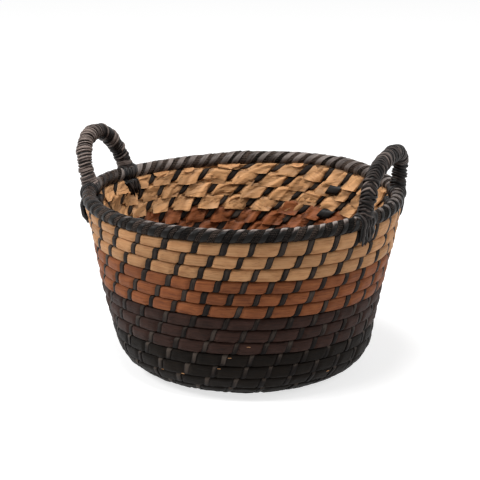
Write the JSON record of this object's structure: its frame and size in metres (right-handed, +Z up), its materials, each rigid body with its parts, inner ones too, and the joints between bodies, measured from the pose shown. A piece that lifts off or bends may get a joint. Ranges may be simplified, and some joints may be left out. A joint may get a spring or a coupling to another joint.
{
  "type": "coiled basket with handles",
  "caption": "Round coiled leaf basket, open at the top, with bands of tan, brown and black, a thick wrapped rim and two upright cord-wound hoop handles.",
  "frame": {"origin": "middle of the basket's underside, on the surface it stands on", "axes": "+Z up through the mouth, +X towards the wider handle, -X towards the narrower handle, -Y to the front"},
  "size_m": [0.3508, 0.34, 0.2484],
  "materials": {
    "black_leaf": "dyed leaf bundle, dull and streaked",
    "dark_brown_leaf": "dyed leaf bundle, dull and streaked",
    "brown_leaf": "dyed leaf bundle, low sheen",
    "tan_leaf": "natural leaf bundle, low sheen",
    "rim_strip": "flat dyed leaf strip, satin",
    "handle_cord": "thin dyed fibre cord, matt",
    "cane": "bare bent cane, matt",
    "lashing_strip": "flat dyed leaf strip, satin"
  },
  "bodies": {
    "root": {"centre_knot": "black_leaf", "base_coil": "black_leaf", "foot_coil": "black_leaf", "black_coil": "black_leaf", "dark_brown_coil": "dark_brown_leaf", "brown_coil": "brown_leaf", "tan_coil": "tan_leaf", "rim_coil": "rim_strip", "right_handle_core": "cane", "left_handle_core": "cane", "right_handle_winding": "handle_cord", "left_handle_winding": "handle_cord", "right_front_lashing_1": "lashing_strip", "right_front_lashing_2": "lashing_strip", "right_front_lashing_3": "lashing_strip", "right_front_lashing_4": "lashing_strip", "right_back_lashing_1": "lashing_strip", "right_back_lashing_2": "lashing_strip", "right_back_lashing_3": "lashing_strip", "right_back_lashing_4": "lashing_strip", "left_front_lashing_1": "lashing_strip", "left_front_lashing_2": "lashing_strip", "left_front_lashing_3": "lashing_strip", "left_front_lashing_4": "lashing_strip", "left_back_lashing_1": "lashing_strip", "left_back_lashing_2": "lashing_strip", "left_back_lashing_3": "lashing_strip", "left_back_lashing_4": "lashing_strip"}
  },
  "joints": []
}
